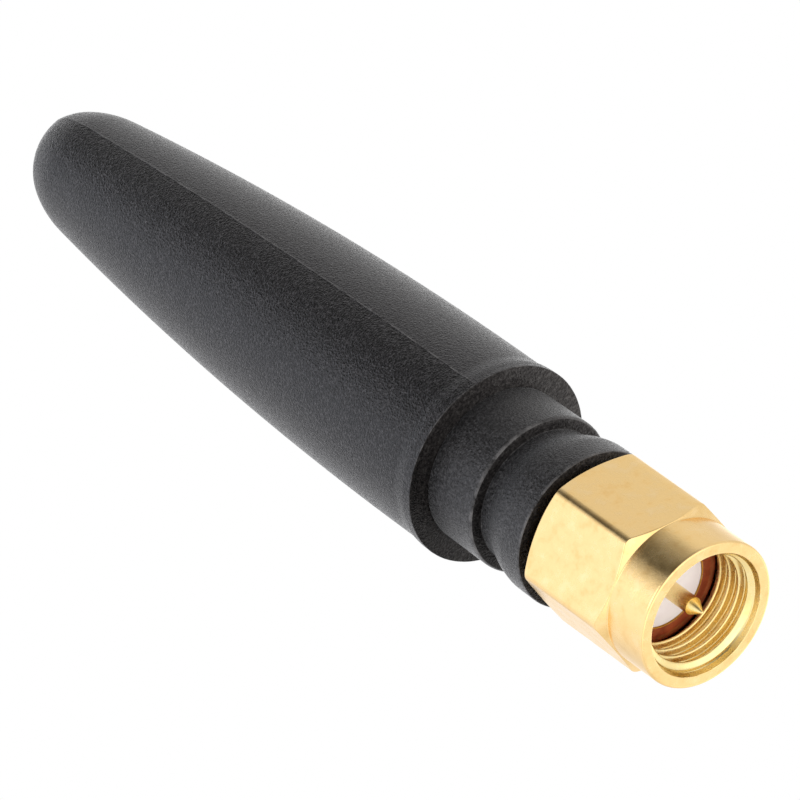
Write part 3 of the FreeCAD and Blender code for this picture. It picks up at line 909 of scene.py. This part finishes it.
def make_radome(rubber, ends):
    shares = half_shares()
    slope = math.tan(math.radians(SEAM_LEAN))
    rows = [inner_row(radius, height, shares) for radius, height in reversed(CAVITY)]
    rows.append(inner_row(SOCKET_RADIUS, SOCKET_END, shares))
    rows.append(inner_row(SOCKET_RADIUS, RADOME_FACE, shares))
    rows.append(inner_row(SOCKET_RADIUS + SOCKET_EDGE, RADOME_FACE, shares))
    for point in radome_side():
        # Past this the profile lies behind the parting plane, so the half closes in the tip
        if point.x < (point.y - RADOME_FACE) * slope:
            rows.append([(0.0, 0.0, OVERALL_LEN - TIP_DIP)] * len(shares))
            break
        rows.append(outer_row(point.x, point.y, shares))
    points = [point for row in rows for point in row]
    faces = grid_faces(len(rows), len(shares), False)
    mirrored = [(-x, y, z) for x, y, z in points]
    count = len(points)
    faces += [tuple(count + corner for corner in reversed(face)) for face in faces]
    piece = make_piece("radome_skin", points + mirrored, faces, rubber)
    shade_end_faces(piece, ends)
    finish_piece(piece, "antenna", "black_rubber", "radome")


# Turned pieces, each after its own sizes; the pieces after it use some of them too


STEM_RADIUS = 2.6           # rear part of the plug, which holds the neck
STEM_END = 14.4
BUSH_FACE = 9.15
STEP_HEIGHT = 12.95
BUSH_TOP = 21.42
COIL_ROOM = 2.45            # radius of the room for the coil
NECK_END = 4.27
NECK_FLARE = 4.25
NECK_SLIM = 3.63
NECK_WIDE = 4.26
NECK_NEAR = 4.23
SPIGOT_RADIUS = 3.92
FLARE_TOP = 12.85
FLARE_RISE = 2.3
FLARE_CREASE = 0.4          # how sharply the flare meets the rim, 0 is a smooth run
FLARE_STEPS = 24
NECK_EDGE_STEPS = 8
NECK_COLUMNS = 160


def neck_profile():
    """Collar, flare, step and spigot of the neck as a closed (radius, height) profile."""
    swell = NECK_FLARE - NECK_SLIM
    flare = []
    for step in range(FLARE_STEPS + 1):
        share = step / FLARE_STEPS
        if share < 0.5:
            bend = 2 * share * share * (1 - FLARE_CREASE) + share * FLARE_CREASE
        else:
            bend = 1 - 2 * (1 - share) ** 2
        flare.append((NECK_FLARE - swell * bend, FLARE_TOP - FLARE_RISE * (1 - share)))
    profile = [(STEM_RADIUS, BUSH_FACE), (NECK_END, BUSH_FACE, 0.12)]
    profile += flare
    profile += [
        (NECK_SLIM, STEP_HEIGHT, 0.05),
        (NECK_WIDE, STEP_HEIGHT, 0.3),
        (NECK_NEAR, RADOME_FACE, 0.02),
        (SPIGOT_RADIUS, RADOME_FACE, 0.02),
        (SPIGOT_RADIUS, BUSH_TOP, 0.1),
        (COIL_ROOM, BUSH_TOP),
        (COIL_ROOM, STEM_END),
        (STEM_RADIUS, STEM_END),
        (STEM_RADIUS, BUSH_FACE),
    ]
    return softened(profile, NECK_EDGE_STEPS)


def make_neck(neck, ends):
    bush = lathe("neck_bush_skin", neck_profile(), NECK_COLUMNS, neck)
    shade_end_faces(bush, ends)
    finish_piece(bush, "antenna", "black_neck", "neck_bush")


SEAL_SEAT = 4.5             # front of the plug's barrel, on which the gasket sits
TUBE_FRONT = 3.15
TUBE_OUTER = 2.35
TUBE_INNER = 2.27
TUBE_LIP = 3.18             # front of the inner side; from here to TUBE_FRONT the skin is open
BORE_WIDE_END = 4.0         # the bore narrows from TUBE_INNER to PLUG_BORE between these two
BORE_SLIM_FROM = 4.2
PLUG_BORE = 2.19
BARREL_RADIUS = 2.82
BARREL_END = 8.9
RING_SEAT = 2.41            # radius of the snap ring's groove in the barrel
PLUG_COLUMNS = 128


def make_plug(gold):
    plug = lathe("plug_body_skin", softened([
        (TUBE_INNER, TUBE_FRONT),
        (TUBE_OUTER, TUBE_FRONT, 0.03),
        (TUBE_OUTER, SEAL_SEAT, 0.02),
        (BARREL_RADIUS, SEAL_SEAT, 0.05),
        (BARREL_RADIUS, RING_LOW),
        (RING_SEAT, RING_LOW),
        (RING_SEAT, RING_HIGH),
        (BARREL_RADIUS, RING_HIGH),
        (BARREL_RADIUS, BARREL_END, 0.05),
        (STEM_RADIUS, BARREL_END),
        (STEM_RADIUS, STEM_END),
        (PLUG_BORE, STEM_END),
        (PLUG_BORE, BORE_SLIM_FROM),
        (TUBE_INNER, BORE_WIDE_END),
        (TUBE_INNER, TUBE_LIP),
    ]), PLUG_COLUMNS, gold)
    finish_piece(plug, "antenna", "gold_plate", "plug_body")


SLEEVE_FACE = 3.2
SLEEVE_END = 14.2
SLEEVE_FRONT = 2.26         # radius in the tube
SLEEVE_RADIUS = 2.18        # radius in the plug's bore
SLEEVE_COLUMNS = 96
PIN_BODY = 0.635            # radius of the pin inside the insulator
PIN_PLAY = 0.01             # between the pin and the insulator
BORE_LIP = 0.05             # the bore's side starts this far behind the insulator's face


def make_insulator(white):
    bore = PIN_BODY + PIN_PLAY
    sleeve = lathe("insulator_skin", softened([
        (bore, SLEEVE_FACE + BORE_LIP),
        (bore, SLEEVE_FACE, 0.02),
        (SLEEVE_FRONT, SLEEVE_FACE, 0.02),
        (SLEEVE_FRONT, BORE_WIDE_END),
        (SLEEVE_RADIUS, BORE_SLIM_FROM),
        (SLEEVE_RADIUS, SLEEVE_END),
        (bore, SLEEVE_END),
        (bore, SLEEVE_FACE + BORE_LIP),
    ]), SLEEVE_COLUMNS, white)
    finish_piece(sleeve, "antenna", "white_insulator", "insulator")


PIN_TIP = 0.29
PIN_POINT = 0.05            # radius of the blunt point
PIN_POINT_RISE = 0.005
PIN_RADIUS = 0.46
PIN_CONE_END = 1.01
PIN_TAIL = 0.4              # radius behind the insulator
PIN_END = 16.8
PIN_COLUMNS = 64


def make_pin(bright):
    pin = lathe("centre_pin_skin", softened([
        (0.0, PIN_TIP),
        (PIN_POINT, PIN_TIP + PIN_POINT_RISE, 0.03),
        (PIN_RADIUS, PIN_CONE_END, 0.03),
        (PIN_RADIUS, SLEEVE_FACE, 0.02),
        (PIN_BODY, SLEEVE_FACE, 0.03),
        (PIN_BODY, SLEEVE_END),
        (PIN_TAIL, SLEEVE_END),
        (PIN_TAIL, PIN_END, 0.05),
        (0.0, PIN_END),
    ]), PIN_COLUMNS, bright)
    finish_piece(pin, "antenna", "gold_plate", "centre_pin")


SEAL_INNER = 2.36
SEAL_OUTER = 3.17
SEAL_FACE = 3.16            # middle of the face; its edges lie behind it by the drops
SEAL_INNER_DROP = 0.03
SEAL_OUTER_DROP = 0.06
SEAL_COLUMNS = 128


def make_gasket(red):
    """The soft ring, with a face that bulges a little in the middle."""
    middle = (SEAL_INNER + SEAL_OUTER) / 2
    ring = lathe("gasket_skin", softened([
        (SEAL_INNER, SEAL_SEAT),
        (SEAL_INNER, SEAL_FACE + SEAL_INNER_DROP, 0.05),
        (middle, SEAL_FACE, 0.3),
        (SEAL_OUTER, SEAL_FACE + SEAL_OUTER_DROP, 0.08),
        (SEAL_OUTER, SEAL_SEAT),
        (SEAL_INNER, SEAL_SEAT),
    ]), SEAL_COLUMNS, red)
    finish_piece(ring, "antenna", "red_seal", "gasket")


make_camera()
make_world()
make_floor()
make_lamp()

rubber = black_rubber("black_rubber", RUBBER_GREYS, gloss=0.36, sheen=0.2, blend_mm=0.03, worn_highlights=True)
neck = black_rubber("black_neck", NECK_GREYS, gloss=0.36, sheen=0.2, blend_mm=1.5, worn_highlights=True)
# Painted shade for the end faces: dark greys, low gloss and no sheen
ends = black_rubber("black_rubber_shaded_ends", END_SHADE_GREYS, gloss=0.10, sheen=0.0, blend_mm=5.5, worn_highlights=False)
gold = gold_plate("gold_plate", OUTER_GOLD)
# Paler gold for the thread, countersink and pin: painted light against the shade in the mouth
bright = gold_plate("gold_plate_inner", INNER_GOLD)
white = white_insulator()
red = red_seal()
# Every solid gets its finish, those that a finer mesh replaces too
for node, material in (
    ("coupling_nut", gold),
    ("plug_body", gold),
    ("centre_pin", bright),
    ("insulator", white),
    ("gasket", red),
    ("snap_ring", drawn_wire("spring_bronze", (0.62, 0.42, 0.25))),
    ("radiator_coil", drawn_wire("spring_wire", (0.66, 0.46, 0.28))),
    ("feed_ferrule", drawn_wire("plain_brass", (0.76, 0.58, 0.30))),
    ("shrink_tube", shrink_film()),
    ("neck_bush", neck),
    ("radome", rubber),
):
    dress(node, material)
make_nut(gold, bright)
make_radome(rubber, ends)
make_neck(neck, ends)
make_plug(gold)
make_insulator(white)
make_pin(bright)
make_gasket(red)

bpy.context.scene.view_settings.view_transform = "Standard"
